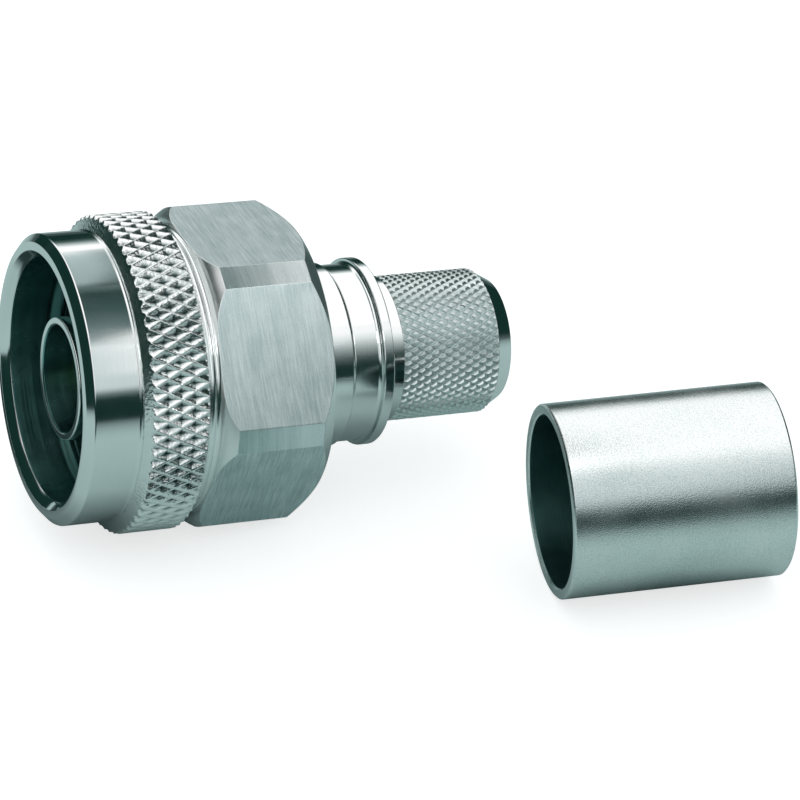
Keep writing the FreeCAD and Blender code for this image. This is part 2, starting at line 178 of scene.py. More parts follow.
def lathe(name, outline, place=PLUG):
    """Closed ring turned from an outline."""
    points = rounded(outline)
    phi = np.arange(AROUND) * 2 * math.pi / AROUND
    grid = frame_point(place, points[:, 0][:, None], points[:, 1][:, None], phi[None, :])
    return finish_mesh(name, grid.reshape(-1, 3), ring_faces(len(points), AROUND).tolist())


def lattice(x, y):
    """Distances from the two families of slanting lines, 0 on a line and 1 midway between two."""
    down = np.abs(np.mod(x - y + 1, 2) - 1)
    rise = np.abs(np.mod(x + y + 1, 2) - 1)
    return down, rise


def knurl_band(name, stations, limit, around, first, step, height, inner, fine):
    """Ring with a diamond pattern outside and a plain wall inside.

    height(m) is the radius at the distance m from the nearest line, and limit(u) caps it.
    """
    columns = 2 * around * fine
    phi = np.arange(columns) * 2 * math.pi / columns
    x = np.arange(columns) / fine
    y = (stations - first) / step
    down, rise = lattice(x[None, :], y[:, None])
    outer = np.minimum(height(np.minimum(down, rise)), limit(stations)[:, None])
    rho = np.vstack([outer, np.full((2, columns), inner)])
    u = np.concatenate([stations, [stations[-1], stations[0]]])
    grid = frame_point(PLUG, u[:, None], rho, phi[None, :]).reshape(-1, 3)
    quads = ring_faces(len(u), columns)
    rows = np.repeat(np.arange(len(u)), columns)
    cols = np.tile(np.arange(columns), len(u))
    y_mid = (u[np.minimum(rows, len(stations) - 2)] + u[np.minimum(rows + 1, len(stations) - 1)]) / 2
    down, rise = lattice((cols + 0.5) / fine, (y_mid - first) / step)
    along = (down < rise)[:, None]
    one = np.where(along, quads[:, [0, 1, 2]], quads[:, [0, 1, 3]])
    two = np.where(along, quads[:, [0, 2, 3]], quads[:, [1, 2, 3]])
    return finish_mesh(name, grid, np.vstack([one, two]).tolist(), sharp=25.0)


def nut_front():
    """Bead, mouth, threaded bore, relief, and the inside of the swivel."""
    phi = np.arange(AROUND) * 2 * math.pi / AROUND
    before = rounded([
        (NUT_END - 0.2, SWIVEL_BORE), (NUT_END - 0.2, SHELL_R), (BEAD_END + 0.1, SHELL_R),
        (BEAD_END + 0.1, BEAD_R - 0.1), (BEAD_END, BEAD_R, 0.04), (BEAD_END - 0.02, BEAD_R + 0.05, 0.03),
        (BEAD_END - 0.16, BEAD_R + 0.05, 0.05), (BEAD_END - 0.24, BEAD_R), (0.5, BEAD_R, 0.14),
        (0.04, MOUTH_EDGE + 0.1, 0.08), (0, MOUTH_EDGE), (0, MOUTH_R, 0.04), (0.06, MOUTH_R - 0.06),
    ])
    after = rounded([(THREAD_END, RELIEF_R), (RELIEF_END, RELIEF_R), (RELIEF_END, SWIVEL_BORE),
                     (WEB_END, SWIVEL_BORE)])
    u_thread = np.arange(0.1, THREAD_END, PITCH / 12)
    turns = u_thread[:, None] / PITCH - phi[None, :] / (2 * math.pi)
    away = np.abs(np.mod(turns, 1) - 0.5) * PITCH
    groove = np.minimum(FLANK_SLOPE * np.maximum(0, away - PITCH / 8), THREAD_DEPTH)
    lead_in = np.clip((u_thread - THREAD_START) / PITCH, 0, 1)[:, None]
    ridge = THREAD_MAJOR - lead_in * (THREAD_DEPTH - groove)
    bevel = (MOUTH_R - u_thread)[:, None]
    rho_thread = np.maximum(ridge, bevel)
    ones = np.ones((1, AROUND))
    u = np.vstack([before[:, :1] * ones, u_thread[:, None] * ones, after[:, :1] * ones])
    rho = np.vstack([before[:, 1:] * ones, rho_thread, after[:, 1:] * ones])
    grid = frame_point(PLUG, u, rho, phi[None, :]).reshape(-1, 3)
    return finish_mesh("nut_front", grid, ring_faces(len(u), AROUND).tolist())


def nut_knurl():
    """Diamond knurl with narrow ridges around four-faced pits, running out on its two cones."""
    first = KNURL_START - KNURL_STEP
    fine = 8
    inside = np.arange(first, HEX_START, KNURL_STEP / fine)
    inside = inside[(inside > BEAD_END + 0.02) & (inside < WAIST_START - 0.02)]
    stations = np.concatenate([[BEAD_END], inside, [KNURL_START, KNURL_END, WAIST_START]])
    stations = np.unique(np.round(stations, 6))

    def limit(u):
        front = BEAD_R + (u - BEAD_END) * (KNURL_R - BEAD_R) / (KNURL_START - BEAD_END)
        back = WAIST_R + (WAIST_START - u) * (KNURL_R - WAIST_R) / (WAIST_START - KNURL_END)
        return np.minimum(np.minimum(front, back), KNURL_R)

    def height(m):
        shoulder, floor = 0.02, 0.95
        pit = (KNURL_DEPTH - shoulder) * np.clip((m - RIDGE) / (floor - RIDGE), 0, 1)
        return KNURL_R - shoulder * np.clip(m / RIDGE, 0, 1) - pit

    return knurl_band("nut_knurl", stations, limit, KNURL_AROUND, first, KNURL_STEP, height,
                      SHELL_R + 0.05, fine)


def nut_hexagon():
    """Waist with two turned rings, and the wrench hexagon with its cone chamfers."""
    front_power, back_edge = 1.6, 9.2
    edge = math.degrees(math.acos(HEX_HALF / HEX_CORNER))
    half = np.concatenate([
        np.linspace(-30, -edge, 4)[:-1], np.linspace(-edge, edge, 25), np.linspace(edge, 30, 4)[1:-1],
    ])
    psi = np.radians(np.tile(half, 6))
    phi = np.radians(np.concatenate([half + 30 + 60 * k for k in range(6)]))
    reach = np.minimum(HEX_HALF / np.cos(psi), HEX_CORNER)
    columns = len(phi)
    ones = np.ones(columns)
    back_rise = (NUT_END - HEX_BACK_START) / (HEX_CORNER - HEX_HALF)
    back = NUT_END - (reach - HEX_HALF) * back_rise

    def front_cone(rho):
        rise = np.maximum(0, rho - HEX_FRONT_R) / (HEX_CORNER - HEX_FRONT_R)
        return HEX_START + (HEX_FRONT_END - HEX_START) * rise ** front_power

    front = front_cone(reach)
    rows = []
    waist = [
        (NUT_END - 0.2, SWIVEL_BORE), (NUT_END - 0.2, SHELL_R + 0.05),
        (WAIST_START - 0.05, SHELL_R + 0.05), (WAIST_START - 0.05, WAIST_R),
    ]
    for centre in RIBS:
        for step in range(11):
            turn = math.radians(-RIB_TURN + 2 * RIB_TURN * step / 10)
            drop = RIB_RADIUS * (math.cos(turn) - math.cos(math.radians(RIB_TURN)))
            waist.append((centre + RIB_RADIUS * math.sin(turn), WAIST_R + RIB_LIFT + drop))
    waist.append((HEX_START, WAIST_R))
    for u, rho in waist:
        rows.append((u * ones, rho * ones))
    low = np.minimum(reach, HEX_FRONT_R)
    for part in np.linspace(0, 1, 7)[:-1]:
        rho = low + (reach - low) * part
        rows.append((front_cone(rho), rho))
    for part in np.linspace(0, 1, 9):
        rows.append((front + (back - front) * part, reach))
    rows.append((NUT_END * ones, HEX_HALF * ones))
    rows.append((NUT_END * ones, back_edge * ones))
    rows.append((NUT_END * ones, (SWIVEL_BORE + 0.1) * ones))
    rows.append(((NUT_END - 0.1) * ones, SWIVEL_BORE * ones))
    u = np.array([row[0] for row in rows])
    rho = np.array([row[1] for row in rows])
    grid = frame_point(PLUG, u, rho, phi[None, :]).reshape(-1, 3)
    faces = ring_faces(len(rows), columns).tolist()
    return finish_mesh("nut_hexagon", grid, faces, sharp=20.0, merge=True)


def plug_shell():
    """Outer contact, gasket seat, shoulder, ring groove and rear collar."""
    return lathe("plug_shell", [
        (SETBACK + 0.1, CONTACT_BORE), (SETBACK, CONTACT_BORE + 0.1, 0.04), (SETBACK, CONTACT_R, 0.1),
        (CONTACT_END, CONTACT_R), (CONTACT_END, SEAT_R), (SEAT_END, SEAT_R), (SEAT_END, NECK_R, 0.1),
        (RING_START, NECK_R), (RING_START, RING_ROOT), (RING_END, RING_ROOT), (RING_END, NECK_R),
        (COLLAR_START, NECK_R), (COLLAR_START, COLLAR_R, 0.05), (COLLAR_END, COLLAR_R, 0.07),
        (BODY_END, COLLAR_R - 0.14), (BODY_END, CHAMBER_R), (CHAMBER_START, CHAMBER_R),
        (CHAMBER_START, CONTACT_BORE),
    ])


def crimp_shell():
    """Rear ring, flange, and the plain parts of the crimp sleeve with its bore."""
    return lathe("crimp_shell", [
        (SPIGOT_START, PASSAGE_R), (SPIGOT_START, SPIGOT_R), (BODY_END, SPIGOT_R),
        (BODY_END, NECK_R - 0.09), (BODY_END + 0.09, NECK_R, 0.05),
        (FLANGE_START, NECK_R, 0.28), (FLANGE_START, FLANGE_R, 0.07),
        (FLANGE_END, FLANGE_R, 0.07), (FLANGE_END, SLEEVE_R, 0.06), (SLEEVE_KNURL_START, SLEEVE_R, 0.04),
        (SLEEVE_KNURL_START + 0.02, SLEEVE_INNER), (SLEEVE_KNURL_END - 0.02, SLEEVE_INNER),
        (SLEEVE_KNURL_END, SLEEVE_R - 0.12, 0.03), (SLEEVE_END, SLEEVE_END_R, 0.05),
        (SLEEVE_END, CABLE_BORE, 0.05), (CABLE_STOP, CABLE_BORE), (CABLE_STOP, PASSAGE_R),
    ])


def sleeve_knurl():
    """Fine raised diamonds of the crimp sleeve."""
    fine = 6
    step = (SLEEVE_KNURL_END - SLEEVE_KNURL_START) / SLEEVE_COLUMNS
    stations = SLEEVE_KNURL_START + np.arange(SLEEVE_COLUMNS * fine + 1) * step / fine
    crest, groove, half_width, crown = 4.86, 0.13, 0.5, 0.03

    def limit(u):
        return np.full(len(u), SLEEVE_R)

    def height(m):
        return crest - groove * np.clip(1 - m / half_width, 0, 1) - crown * (1 - m) ** 2

    return knurl_band("sleeve_knurl", stations, limit, SLEEVE_AROUND, SLEEVE_KNURL_START, step, height,
                      SLEEVE_INNER - 0.05, fine)


def ferrule_tube():
    """Plain tube with its edges broken."""
    inner, outer = FERRULE_BORE + FERRULE_EDGE, FERRULE_RADIUS - FERRULE_EDGE
    front, back = FERRULE_EDGE, FERRULE_LENGTH - FERRULE_EDGE
    return lathe("ferrule_tube", [
        (0, inner, 0.04), (0, outer, 0.05), (front, FERRULE_RADIUS, 0.08), (back, FERRULE_RADIUS, 0.08),
        (FERRULE_LENGTH, outer, 0.05), (FERRULE_LENGTH, inner, 0.04), (back, FERRULE_BORE, 0.05),
        (front, FERRULE_BORE, 0.05),
    ], FERRULE)


# materials
class Nodes:
    """Short calls for the nodes of a tree."""

    def __init__(self, tree):
        self.tree = tree

    def node(self, kind, inputs=None, **settings):
        made = self.tree.nodes.new("ShaderNode" + kind)
        for key, value in settings.items():
            setattr(made, key, value)
        for key, value in (inputs or {}).items():
            self.put(made, key, value)
        return made

    def put(self, made, key, value):
        socket = made.inputs[key]
        if isinstance(value, bpy.types.NodeSocket):
            self.tree.links.new(value, socket)
        else:
            socket.default_value = value

    def maths(self, operation, a, b, clamp=False):
        made = self.node("Math", {0: a, 1: b}, operation=operation)
        made.use_clamp = clamp
        return made.outputs[0]

    def position(self):
        return self.node("TexCoord").outputs["Object"]

    def along(self, axis):
        """Distance in millimetres along an axis."""
        dot = self.node("VectorMath", {0: self.position(), 1: tuple(1000 * c for c in axis)},
                        operation="DOT_PRODUCT")
        return dot.outputs["Value"]

    def noise(self, vector=None, scale=1.0, detail=2.0, rough=0.5, w=None):
        values = {"Scale": scale, "Detail": detail, "Roughness": rough}
        if w is not None:
            return self.node("TexNoise", {"W": w, **values}, noise_dimensions="1D").outputs["Fac"]
        return self.node("TexNoise", {"Vector": vector, **values}).outputs["Fac"]

    def ramp(self, value, low, high, start, end, kind="LINEAR"):
        """From low at the start to high at the end, and level beyond them."""
        values = {"Value": value, "From Min": start, "From Max": end, "To Min": low, "To Max": high}
        return self.node("MapRange", values, interpolation_type=kind).outputs["Result"]

    def bump(self, height, strength, distance, normal=None):
        made = self.node("Bump", {"Height": height, "Strength": strength, "Distance": distance})
        if normal is not None:
            self.put(made, "Normal", normal)
        return made.outputs["Normal"]

    def colour(self, fac, first, second):
        """Mix of two colours, each a socket or three numbers."""
        made = self.node("Mix", {0: fac}, data_type="RGBA")
        for key, value in ((6, first), (7, second)):
            self.put(made, key, (*value, 1) if isinstance(value, tuple) else value)
        return made.outputs[2]


class Paint(Nodes):
    """Material of nodes."""

    def __init__(self, name):
        self.material = bpy.data.materials.new(name)
        self.material.use_nodes = True
        super().__init__(self.material.node_tree)
        self.shader = self.tree.nodes["Principled BSDF"]

    def set(self, **values):
        for key, value in values.items():
            self.put(self.shader, key.replace("_", " "), value)
        return self.material


PLATE = (0.96, 0.975, 0.975)
PLATE_TINT = ((0.87, 0.91, 0.905), PLATE)
# Painted shade: the bores of the nut and the contact, and the nut's thread, are painted dark for the shade
# inside them.
BORE_SHADE_TINT = ((0.10, 0.28, 0.27), (0.22, 0.46, 0.44))
THREAD_SHADE_TINT = ((0.04, 0.12, 0.115), (0.09, 0.20, 0.19))
SLEEVE_TINT = ((0.62, 0.71, 0.70), (0.81, 0.88, 0.88))
SATIN_TINT = ((0.74, 0.81, 0.80), (0.97, 1.0, 1.0))
# Painted shade: the ferrule's bore is painted dark for the shade inside it.
FERRULE_BORE_SHADE_TINT = ((0.07, 0.19, 0.18), (0.15, 0.31, 0.30))
FLAT_TINT = ((0.50, 0.60, 0.61), (0.81, 0.89, 0.90))
WORN_TONE_AND_SHADE = ((0.36, 0.48, 0.47), (0.94, 1.0, 1.0))
# Painted shade in the knurl's pits: its colour, the depths below the crest where it is full and where it
# ends, and its run-out at the knurl's ends.
PIT_SHADE = (0.04, 0.09, 0.085)
PIT_SHADE_FLOOR, PIT_SHADE_RIM, PIT_SHADE_RUN = 0.25, 0.09, 0.2


def plated(name, axis, rough, spread, lines, grain, edge=0.05, tint=PLATE_TINT, speckle=0.0,
           fineness=13.0, relief=0.00001, pit_shade=False):
    """Plated metal: turned lines across the axis, fine grain, softened edges, and painted shade in a
    knurl's pits.
    """
    paint = Paint(name)
    u = paint.along(axis)
    spot = paint.position()
    turned = paint.noise(w=u, scale=14.0, detail=3.0, rough=0.7)
    cloud = paint.noise(spot, 260.0, 3.0)
    fine = paint.noise(spot, fineness * 1000, 1.0)
    mixed = paint.maths("ADD", paint.maths("MULTIPLY", turned, 0.5), paint.maths("MULTIPLY", cloud, 0.5))
    if speckle:
        away = paint.maths("MULTIPLY", paint.maths("SUBTRACT", fine, 0.5), speckle)
        mixed = paint.maths("ADD", mixed, away)
    base = paint.colour(paint.ramp(mixed, 0.0, 1.0, 0.3, 0.6), *tint)
    # Painted shade: the deep parts of a knurl's pits are painted dark, fading out at both ends of the
    # knurl.
    if pit_shade:
        across = paint.node("VectorMath", {0: spot, 1: tuple(axis)}, operation="CROSS_PRODUCT").outputs[0]
        rho = paint.node("VectorMath", {0: across}, operation="LENGTH").outputs["Value"]
        deep = paint.ramp(rho, 1.0, 0.0, (KNURL_R - PIT_SHADE_FLOOR) * MM, (KNURL_R - PIT_SHADE_RIM) * MM)
        start, end = KNURL_START - SETBACK, KNURL_END - SETBACK
        pit_shade_band = paint.maths("MULTIPLY", paint.ramp(u, 0.0, 1.0, start, start + PIT_SHADE_RUN),
                           paint.ramp(u, 1.0, 0.0, end - PIT_SHADE_RUN, end))
        base = paint.colour(paint.maths("MULTIPLY", deep, pit_shade_band), base, PIT_SHADE)
    shine = paint.ramp(cloud, rough - spread, rough + spread, 0.3, 0.7)
    normal = paint.node("Bevel", {"Radius": edge * MM}, samples=6).outputs["Normal"]
    if lines:
        normal = paint.bump(turned, lines, 0.00002, normal)
    normal = paint.bump(fine, grain, relief, normal)
    return paint.set(Base_Color=base, Metallic=1.0, Roughness=shine, Normal=normal)


def brushed(name, worn_and_shaded=False):
    """Milled flats with fine straight brush lines across the axis, and the worn strips at the corners,
    which carry painted shade darker towards their front end.
    """
    paint = Paint(name)
    spot = paint.position()
    stretch = paint.node("VectorMath", {0: spot, 1: (1, 0.05, 0.05)}, operation="MULTIPLY").outputs[0]
    lines = paint.noise(stretch, 9000.0, 3.0, 0.7)
    broad = paint.noise(stretch, 1400.0, 3.0, 0.6)
    cloud = paint.noise(spot, 500.0, 2.0)
    grit = paint.noise(spot, 12000.0, 1.0)
    both = paint.maths("ADD", paint.maths("MULTIPLY", lines, 0.5), paint.maths("MULTIPLY", broad, 0.15))
    both = paint.maths("ADD", both, paint.maths("MULTIPLY", cloud, 0.2))
    both = paint.maths("ADD", both, paint.maths("MULTIPLY", grit, 0.15))
    base = paint.colour(paint.ramp(both, 0.0, 1.0, 0.40, 0.60), *FLAT_TINT)
    rough = 0.25 if worn_and_shaded else 0.40
    shine = paint.ramp(lines, rough, rough + 0.10, 0.3, 0.7)
    if worn_and_shaded:
        # Painted shade: the corner strips are painted darker towards the front of the hexagon and lighter
        # towards the back, mixed with random tone.
        u = paint.along(AXIS)
        start = paint.ramp(u, 0.0, 1.0, HEX_FRONT_END - SETBACK, HEX_BACK_START - SETBACK)
        tone_and_shade = paint.maths("ADD", start, paint.maths("MULTIPLY", paint.maths("SUBTRACT", broad, 0.5), 0.8))
        tone = paint.colour(paint.ramp(tone_and_shade, 0.0, 1.0, 0.1, 0.8), *WORN_TONE_AND_SHADE)
        base = paint.colour(0.7, base, tone)
    normal = paint.node("Bevel", {"Radius": 0.10 * MM}, samples=8).outputs["Normal"]
    true = paint.node("NewGeometry").outputs["True Normal"]
    same = paint.node("VectorMath", {0: normal, 1: true}, operation="DOT_PRODUCT").outputs["Value"]
    edge = paint.ramp(same, 1.0, 0.0, 0.955, 0.995)
    base = paint.colour(edge, base, PLATE)
    shine = paint.maths("SUBTRACT", shine, paint.maths("MULTIPLY", edge, 0.25))
    normal = paint.bump(lines, 0.25, 0.00002, normal)
    return paint.set(Base_Color=base, Metallic=1.0, Roughness=shine, Normal=normal)


def plain(name, dark, light, rough, metallic=0.0):
    """Mottled surface for the pieces inside the plug."""
    scale, grain = 900.0, 0.2
    paint = Paint(name)
    cloud = paint.noise(paint.position(), scale, 3.0)
    base = paint.colour(paint.ramp(cloud, 0.0, 1.0, 0.35, 0.65), dark, light)
    shine = paint.ramp(cloud, rough - 0.06, rough + 0.06, 0.3, 0.7)
    normal = paint.bump(paint.noise(paint.position(), scale * 4, 2.0), grain, 0.00002)
    return paint.set(Base_Color=base, Metallic=metallic, Roughness=shine, Normal=normal)


def wear(thing, material, slot, body, *nodes):
    """Give a piece its material, and let it ride on a body and stand for CAD nodes; the slot argument is
    not used.
    """
    thing.data.materials.clear()
    thing.data.materials.append(material)
    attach(thing, body)
    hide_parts(*nodes)
    return thing


polished = plated("polished_plating", AXIS, rough=0.09, spread=0.03, lines=0.03, grain=0.05)
turned = plated("turned_plating", AXIS, rough=0.11, spread=0.03, lines=0.035, grain=0.05)
# Painted shade inside the bores and the thread, through their dark colours.
shaded_bore = plated("bore_plating_painted_shade", AXIS, rough=0.26, spread=0.06, lines=0.6, grain=0.3, tint=BORE_SHADE_TINT)
threaded = plated("thread_plating_painted_shade", AXIS, rough=0.42, spread=0.06, lines=0.3, grain=0.3,
                  tint=THREAD_SHADE_TINT)
coned = plated("coned_plating", AXIS, rough=0.30, spread=0.04, lines=0.05, grain=0.1)
knurl_plating = plated("knurled_plating", AXIS, rough=0.19, spread=0.05, lines=0.0, grain=0.8, edge=0.04,
                       fineness=5.0, relief=0.00004, pit_shade=True)
sleeve_plating = plated("sleeve_plating", AXIS, rough=0.34, spread=0.06, lines=0.0, grain=0.40, edge=0.03,
                        tint=SLEEVE_TINT)
satin = plated("satin_plating", FERRULE_AXIS, rough=0.24, spread=0.04, lines=0.03, grain=0.9,
               tint=SATIN_TINT, speckle=1.1, fineness=12.0)
ferrule_bored = plated("ferrule_bore", FERRULE_AXIS, rough=0.35, spread=0.06, lines=0.2, grain=0.2,
                       tint=FERRULE_BORE_SHADE_TINT)
flats = brushed("brushed_flats")
strips = brushed("worn_and_shaded_strips", worn_and_shaded=True)


def second_look(thing, material, chosen, place=PLUG):
    """Give a further material to the faces that chosen(station, radius, normal along the axis) picks."""
    origin, axis = place[:2]
    thing.data.materials.append(material)
    for face in thing.data.polygons:
        middle = np.array(face.center) / MM - origin
        station = middle @ axis
        radius = np.linalg.norm(middle - station * axis)
        if chosen(station, radius, abs(np.array(face.normal) @ axis)):
            face.material_index = len(thing.data.materials) - 1


front = wear(nut_front(), polished, "plated_nut", "nut", "coupling_nut")
second_look(front, shaded_bore, lambda u, rho, lean: u > 0.5 and rho < RELIEF_R + 0.1)
second_look(front, threaded, lambda u, rho, lean: u > THREAD_START and rho < RELIEF_R + 0.1)
wear(nut_knurl(), knurl_plating, "plated_nut", "nut", "coupling_nut")
hexagon = wear(nut_hexagon(), turned, "plated_nut", "nut", "coupling_nut")


def beyond(least):
    """Test for the level faces of the hexagon that lie farther out than a radius."""
    return lambda u, rho, lean: lean < 0.02 and HEX_START < u < NUT_END and rho > least


second_look(hexagon, flats, beyond(HEX_HALF - 0.02))
second_look(hexagon, strips, beyond(HEX_CORNER - 0.06))
second_look(hexagon, coned, lambda u, rho, lean: 0.3 < lean and HEX_START - 0.01 < u < HEX_FRONT_END)
shell = wear(plug_shell(), turned, "plated_body", "plug", "plug_body")
second_look(shell, shaded_bore, lambda u, rho, lean: u > SETBACK + 0.06 and rho < CONTACT_BORE + 0.1)
wear(crimp_shell(), turned, "plated_sleeve", "plug", "crimp_body")
wear(sleeve_knurl(), sleeve_plating, "plated_sleeve", "plug", "crimp_body")
tube = wear(ferrule_tube(), satin, "plated_ferrule", "plug", "crimp_ferrule")
second_look(tube, ferrule_bored, lambda u, rho, lean: rho < FERRULE_BORE + 0.05 and lean < 0.5, FERRULE)

hidden_looks = {
    "retaining_ring": plain("spring_bronze", (0.45, 0.32, 0.16), (0.60, 0.45, 0.25), 0.35, 1.0),
    "mating_gasket": plain("gasket_rubber", (0.05, 0.05, 0.05), (0.09, 0.09, 0.09), 0.7),
    "front_insulator": plain("white_plastic", (0.80, 0.80, 0.78), (0.86, 0.86, 0.84), 0.5),
    "centre_contact": plain("gold_plating", (0.72, 0.52, 0.20), (0.86, 0.66, 0.30), 0.22, 1.0),
}
for node_name, material in hidden_looks.items():
    data = frame["nodes"][node_name].data
    data.materials.clear()
    data.materials.append(material)


# studio
def stage_piece(name, points, faces, material):
    """Piece of the studio, which is no part of the object."""
    mesh = bpy.data.meshes.new(name)
    mesh.from_pydata(points, [], faces)
    mesh.materials.append(material)
    thing = bpy.data.objects.new(name, mesh)
    bpy.context.scene.collection.objects.link(thing)
    return thing


def glossy_only(thing):
    """Studio card that only shows in the metal."""
    thing.visible_camera = thing.visible_diffuse = thing.visible_shadow = False
    thing.visible_transmission = thing.visible_volume_scatter = False


def background_share(paint):
    """1 for the rays that see the white background: camera, glossy and transmission."""
    path = paint.node("LightPath")
    both = paint.maths("ADD", path.outputs["Is Camera Ray"], path.outputs["Is Glossy Ray"])
    return paint.maths("ADD", both, path.outputs["Is Transmission Ray"], clamp=True)


def square(reach, height):
    """Corners of a level square around the origin, in metres."""
    return [(x * reach, y * reach, height) for x, y in ((-1, -1), (1, -1), (1, 1), (-1, 1))]


FLOOR_REACH, SHEET_REACH, SHEET_LIFT = 4.0, 0.6, 0.00003
floor_paint = Paint("pale_floor")
floor_paint.set(Base_Color=(0.50, 0.52, 0.52, 1), Roughness=0.8, Emission_Color=(1, 1, 1, 1),
                Emission_Strength=floor_paint.maths("MULTIPLY", background_share(floor_paint), 0.70))
stage_piece("floor", square(FLOOR_REACH, FLOOR * MM), [(0, 1, 2, 3)], floor_paint.material)

# Grey-green paper that only the metal sees, with soft pools of shade: behind the mouth, under the nut,
# under the neck, under the ferrule and in front on the left. It is darker far in front and far behind.
# Each pool has its middle in x and y, its reach in x and y, and its depth.
POOLS = ((-5.5, 15.5, 4.5, 12.0, 0.95), (0.0, 0.5, 8.0, 9.5, 0.5), (20.0, -1.0, 6.0, 8.0, 0.3),
         (34.0, -19.5, 9.0, 5.5, 0.6), (-35.0, -85.0, 35.0, 50.0, 0.97))
SHEET_TINT = ((0.004, 0.018, 0.016), (0.43, 0.56, 0.55))
sheet_paint = Paint("grey_green_sheet")
spot = sheet_paint.position()
share = 1.0
for x, y, wide, deep, weight in POOLS:
    away = sheet_paint.node("VectorMath", {0: spot, 1: (x * MM, y * MM, FLOOR * MM)}, operation="SUBTRACT")
    away = sheet_paint.node("VectorMath", {0: away.outputs[0], 1: (1 / (wide * MM), 1 / (deep * MM), 0)},
                            operation="MULTIPLY")
    away = sheet_paint.node("VectorMath", {0: away.outputs[0]}, operation="LENGTH")
    light = sheet_paint.ramp(away.outputs["Value"], 1.0 - weight, 1.0, 0.6, 1.25)
    share = sheet_paint.maths("MULTIPLY", share, light)
behind = sheet_paint.node("VectorMath", {0: spot, 1: (1, 1, 0)}, operation="DOT_PRODUCT").outputs["Value"]
share = sheet_paint.maths("MULTIPLY", share, sheet_paint.ramp(behind, 1.0, 0.13, 0.060, 0.160))
sides = sheet_paint.node("SeparateXYZ", {0: spot})
right = sheet_paint.ramp(sides.outputs["X"], 0.0, 0.06, 0.048, 0.058)
ahead = sheet_paint.maths("ADD", sides.outputs["Y"], right)
share = sheet_paint.maths("MULTIPLY", share, sheet_paint.ramp(ahead, 0.03, 1.0, -0.095, -0.036))
sheet_paint.set(Base_Color=sheet_paint.colour(share, *SHEET_TINT), Roughness=0.9, Specular_IOR_Level=0.0)
glossy_only(stage_piece("table_sheet", square(SHEET_REACH, FLOOR * MM + SHEET_LIFT), [(0, 1, 2, 3)],
                        sheet_paint.material))


def glowing(paint, colour, strength):
    """Plain emission of a colour instead of the Principled shader."""
    glow = paint.node("Emission", {"Color": colour, "Strength": strength})
    paint.tree.links.new(glow.outputs[0], paint.tree.nodes["Material Output"].inputs["Surface"])
    paint.tree.nodes.remove(paint.shader)
    return paint.material


# Tent that only the metal sees: white overhead and behind, dark in front near the table and at both ends.
# The angle beta runs from the front's horizon over the top to the back's, and x is the share along +X.
SHADOW, WHITE = (0.006, 0.024, 0.020), (1.0, 1.0, 1.0)
OVER = ((6, SHADOW), (10, (0.05, 0.08, 0.075)), (15, (0.45, 0.50, 0.50)), (26, WHITE),
        (153, WHITE), (158, (0.40, 0.46, 0.46)), (163, (0.06, 0.10, 0.09)), (168, SHADOW))
tent_paint = Paint("tent")
direction = tent_paint.node("VectorMath", {0: tent_paint.position()}, operation="NORMALIZE").outputs[0]
parts = tent_paint.node("SeparateXYZ", {0: direction})
x_share, z_share = parts.outputs["X"], parts.outputs["Z"]
to_front = tent_paint.maths("MULTIPLY", parts.outputs["Y"], -1.0)
beta = tent_paint.maths("DIVIDE", tent_paint.maths("ARCTAN2", z_share, to_front), math.pi)
around = tent_paint.node("ValToRGB", {"Fac": beta})
stops = around.color_ramp.elements
stops[0].color = stops[1].color = (*SHADOW, 1)
for degrees, shade in OVER:
    stops.new(degrees / 180).color = (*shade, 1)
right_end = tent_paint.ramp(x_share, 1.0, 0.0, 0.50, 0.68, "SMOOTHSTEP")
reach = tent_paint.maths("ADD", x_share, tent_paint.ramp(beta, 0.34, 0.0, 100 / 180, 130 / 180))
left_end = tent_paint.ramp(reach, 0.0, 1.0, -0.42, -0.15, "SMOOTHSTEP")
middle = tent_paint.maths("MULTIPLY", right_end, left_end)
tent_colour = tent_paint.colour(middle, SHADOW, around.outputs["Color"])
TENT_R, RISES, SIDES, LOWEST = 0.55, 16, 48, -4
points = []
for rise in range(RISES):
    lift = math.radians(LOWEST + (90 - LOWEST) * rise / RISES)
    for side in range(SIDES):
        turn = 2 * math.pi * side / SIDES
        points.append((TENT_R * math.cos(lift) * math.cos(turn), TENT_R * math.cos(lift) * math.sin(turn),
                       TENT_R * math.sin(lift)))
points.append((0, 0, TENT_R))
faces = []
for low in range(0, (RISES - 1) * SIDES, SIDES):
    high = low + SIDES
    faces += [(low + c, low + (c + 1) % SIDES, high + (c + 1) % SIDES, high + c) for c in range(SIDES)]
last, top = (RISES - 1) * SIDES, RISES * SIDES
faces += [(last + c, last + (c + 1) % SIDES, top) for c in range(SIDES)]
glossy_only(stage_piece("tent", points, faces, glowing(tent_paint, tent_colour, 1.12)))


def card(name, corners, direction, stops, edges=(), strength=1.0):
    """Flat card that only the metal sees: colours at stops along a direction, white beyond its edges."""
    paint = Paint(name)
    low, high = stops[0][0], stops[-1][0]
    ramp = paint.node("ValToRGB", {"Fac": paint.ramp(paint.along(direction), 0.0, 1.0, low, high)})
    made = ramp.color_ramp.elements
    made[0].color, made[1].color = (*stops[0][1], 1), (*stops[-1][1], 1)
    for at, shade in stops[1:-1]:
        made.new((at - low) / (high - low)).color = (*shade, 1)
    colour = ramp.outputs["Color"]
    for white, full in edges:
        fade = paint.ramp(paint.along((1, 0, 0)), 1.0, 0.0, white, full, "SMOOTHSTEP")
        colour = paint.colour(fade, colour, WHITE)
    material = glowing(paint, colour, strength)
    points = [tuple(c * MM for c in corner) for corner in corners]
    glossy_only(stage_piece(name, points, [tuple(range(len(points)))], material))


def front_card(name, left, right, stops):
    """Upright card in front of the plug. left and right each give X at the floor and X at the top."""
    y, top = -110, 190
    card(name, [(left[0], y, FLOOR), (right[0], y, FLOOR), (right[1], y, top), (left[1], y, top)],
         (0, 0, 1), stops)


